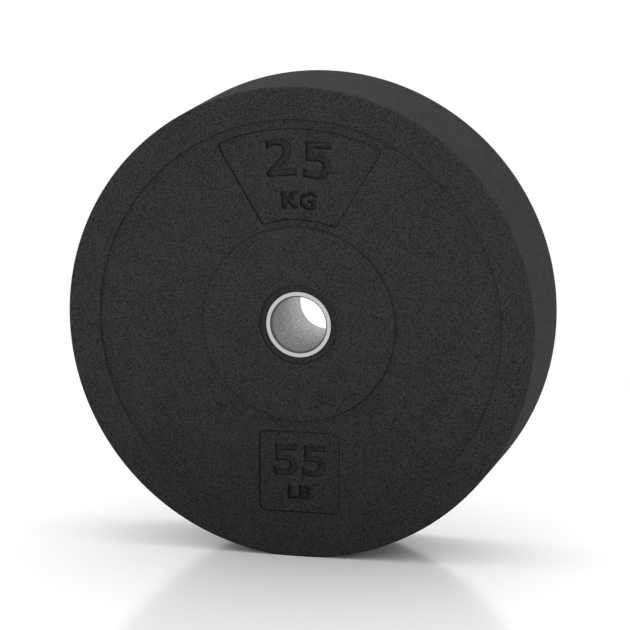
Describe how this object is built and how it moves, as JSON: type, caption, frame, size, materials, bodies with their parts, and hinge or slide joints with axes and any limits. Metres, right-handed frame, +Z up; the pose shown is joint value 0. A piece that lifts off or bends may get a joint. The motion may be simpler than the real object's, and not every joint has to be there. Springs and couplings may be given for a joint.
{
  "type": "bumper plate",
  "caption": "Thick crumb rubber weight plate with a raised rim and hub, recessed web and panels, and a steel bushed bore for a bar.",
  "frame": {"origin": "centre of the plate: on the bore's axis, halfway between the two faces", "axes": "+Y along the bore's axis, from the front face to the back face; +Z up, through the middle of the upper weight panel; +X to the right as the front face is read"},
  "size_m": [0.45, 0.111, 0.4494],
  "materials": {
    "crumb_rubber": "matt moulded crumb rubber with a fine grain, smoother on the tread",
    "insert_steel": "turned and zinc plated steel, satin",
    "anchor_steel": "plain cut steel plate, hidden inside the rubber",
    "weld_steel": "plain weld metal, hidden inside the rubber"
  },
  "bodies": {
    "root": {"rubber_body": "crumb_rubber", "insert_sleeve": "insert_steel", "anchor_disc": "anchor_steel", "anchor_weld_front": "weld_steel", "anchor_weld_rear": "weld_steel"}
  },
  "joints": []
}
